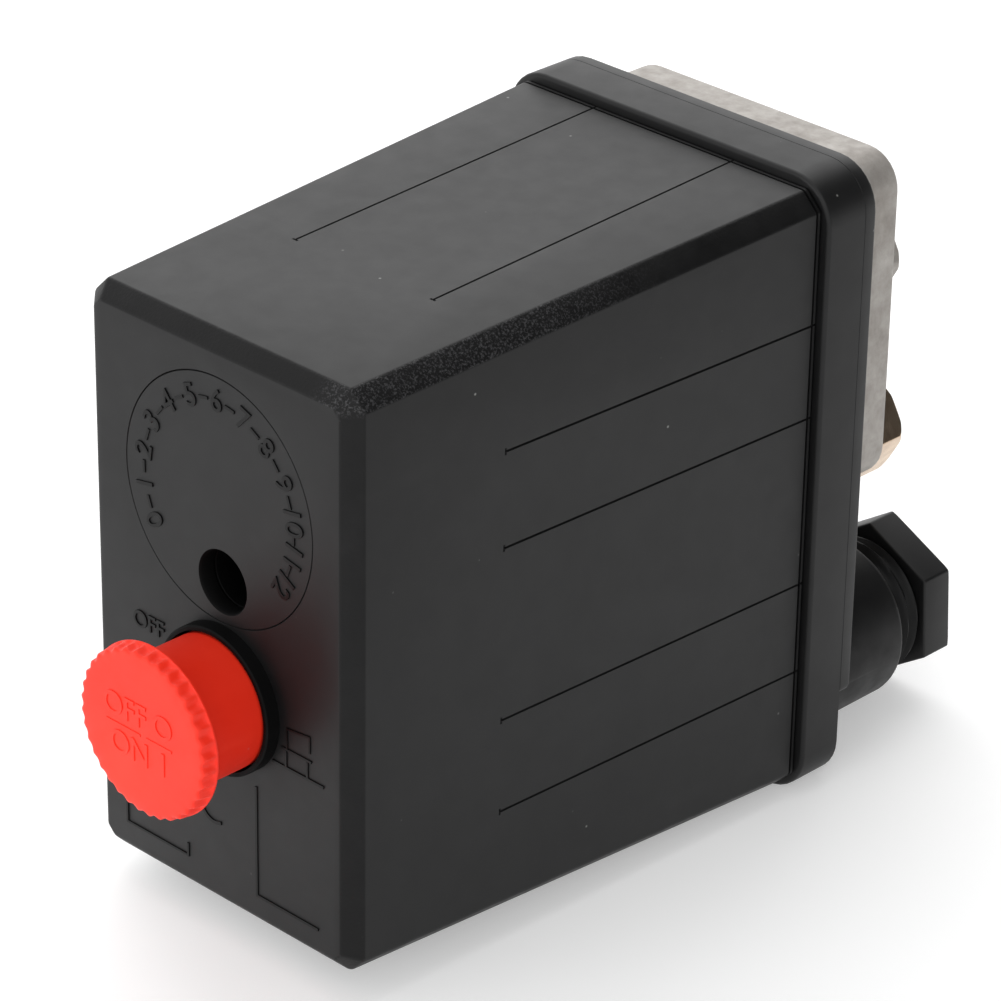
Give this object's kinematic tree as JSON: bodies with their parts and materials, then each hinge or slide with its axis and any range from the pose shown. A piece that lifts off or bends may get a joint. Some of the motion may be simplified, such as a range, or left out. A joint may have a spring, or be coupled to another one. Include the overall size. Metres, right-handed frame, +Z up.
{
  "type": "pressure switch",
  "caption": "Air compressor pressure switch: drafted black cover with red push-pull knob on a flanged base with cast pipe-port plate, cable glands and brass unloader valve.",
  "frame": {"origin": "centre of the bounding box's footprint, on the plane the flange's lower edge rests on", "axes": "+Y from the knob towards the pipe port and glands, +X across the cover towards the side with the grooves seen on the right, +Z up as the switch lies on its side"},
  "size_m": [0.0538, 0.1216, 0.0852],
  "materials": {
    "black_plastic": "fine spark-eroded satin black moulding",
    "red_plastic": "semi-gloss red moulding",
    "cast_alloy": "as-cast grey die casting, matt and slightly mottled",
    "zinc_steel": "zinc plated steel",
    "spring_steel": "oiled spring wire",
    "brass": "turned brass, slightly dulled",
    "rubber": "matt black rubber",
    "moulding_brown": "dark brown heat-resistant moulding"
  },
  "bodies": {
    "base": {"base_housing": "black_plastic", "port_plate": "cast_alloy", "plate_screw_1": "zinc_steel", "plate_screw_2": "zinc_steel", "plate_screw_3": "zinc_steel", "plate_screw_4": "zinc_steel", "diaphragm": "rubber", "gland_seal_left": "rubber", "gland_seal_right": "rubber", "unloader_body": "brass", "unloader_nut": "brass", "frame_bracket": "zinc_steel", "cover_nut": "zinc_steel", "rocker_pin": "zinc_steel", "trip_pin": "zinc_steel", "range_spring": "spring_steel", "earth_screw": "brass", "contact_block": "moulding_brown", "terminal_1": "brass", "terminal_2": "brass", "terminal_3": "brass", "terminal_4": "brass", "terminal_screw_1": "zinc_steel", "terminal_screw_2": "zinc_steel", "terminal_screw_3": "zinc_steel", "terminal_screw_4": "zinc_steel"},
    "cover": {"cover": "black_plastic", "screw_sleeve": "black_plastic"},
    "cover_screw": {"cover_screw": "zinc_steel"},
    "knob": {"knob": "red_plastic", "knob_clip": "zinc_steel"},
    "trip_lever": {"trip_lever": "zinc_steel"},
    "rocker": {"rocker": "zinc_steel"},
    "plunger": {"plunger": "brass"},
    "contact_carrier": {"contact_carrier": "moulding_brown", "contact_bridge_left": "brass", "contact_bridge_right": "brass"},
    "unloader_pin": {"unloader_pin": "zinc_steel"},
    "range_screw": {"range_screw": "zinc_steel"},
    "spring_nut": {"spring_nut": "zinc_steel"},
    "gland_nut_left": {"gland_nut_left": "black_plastic"},
    "gland_nut_right": {"gland_nut_right": "black_plastic"}
  },
  "joints": [
    {"name": "cover_lift_off", "type": "slide", "parent": "base", "child": "cover", "axis": [0, -1, 0], "range_m": [0, 0.085]},
    {"name": "cover_screw_turn", "type": "hinge", "parent": "cover", "child": "cover_screw", "pos_m": [0.001, -0.02255, 0.04965], "axis": [0, -1, 0], "range_deg": [0, 1800]},
    {"name": "knob_push", "type": "slide", "parent": "cover", "child": "knob", "axis": [0, 1, 0], "range_m": [0, 0.005]},
    {"name": "trip_turn", "type": "hinge", "parent": "base", "child": "trip_lever", "pos_m": [0, -0.00155, 0.0476], "axis": [1, 0, 0], "range_deg": [0, 23]},
    {"name": "rocker_tilt", "type": "hinge", "parent": "base", "child": "rocker", "pos_m": [0, 0.01945, 0.0506], "axis": [1, 0, 0], "range_deg": [0, 6.1], "deforming": ["range_spring"]},
    {"name": "plunger_rise", "type": "slide", "parent": "base", "child": "plunger", "axis": [0, -1, 0], "range_m": [0, 0.001], "stiffness_N_per_m": 6000},
    {"name": "contacts_open", "type": "slide", "parent": "base", "child": "contact_carrier", "axis": [0, 1, 0], "range_m": [0, 0.0019]},
    {"name": "unloader_push", "type": "slide", "parent": "base", "child": "unloader_pin", "axis": [0, 1, 0], "range_m": [0, 0.0015]},
    {"name": "range_screw_turn", "type": "hinge", "parent": "base", "child": "range_screw", "pos_m": [0, -0.00755, 0.06], "axis": [0, -1, 0], "range_deg": [-720, 720]},
    {"name": "spring_nut_travel", "type": "slide", "parent": "base", "child": "spring_nut", "axis": [0, 1, 0], "range_m": [-0.002, 0.002], "deforming": ["range_spring"]},
    {"name": "gland_nut_left_turn", "type": "hinge", "parent": "base", "child": "gland_nut_left", "pos_m": [-0.01325, 0.05745, 0.0131], "axis": [0, 1, 0], "range_deg": [0, 1080]},
    {"name": "gland_nut_right_turn", "type": "hinge", "parent": "base", "child": "gland_nut_right", "pos_m": [0.01325, 0.05745, 0.0131], "axis": [0, 1, 0], "range_deg": [0, 1080]}
  ],
  "couplings": [
    {"joint": "trip_turn", "follows": "knob_push", "rad_per_m": 78.54},
    {"joint": "rocker_tilt", "follows": "plunger_rise", "rad_per_m": 106.38},
    {"joint": "contacts_open", "follows": "plunger_rise", "ratio": 1.8298},
    {"joint": "unloader_push", "follows": "plunger_rise", "ratio": 1.4255},
    {"joint": "range_screw_turn", "follows": "spring_nut_travel", "rad_per_m": 6280}
  ]
}
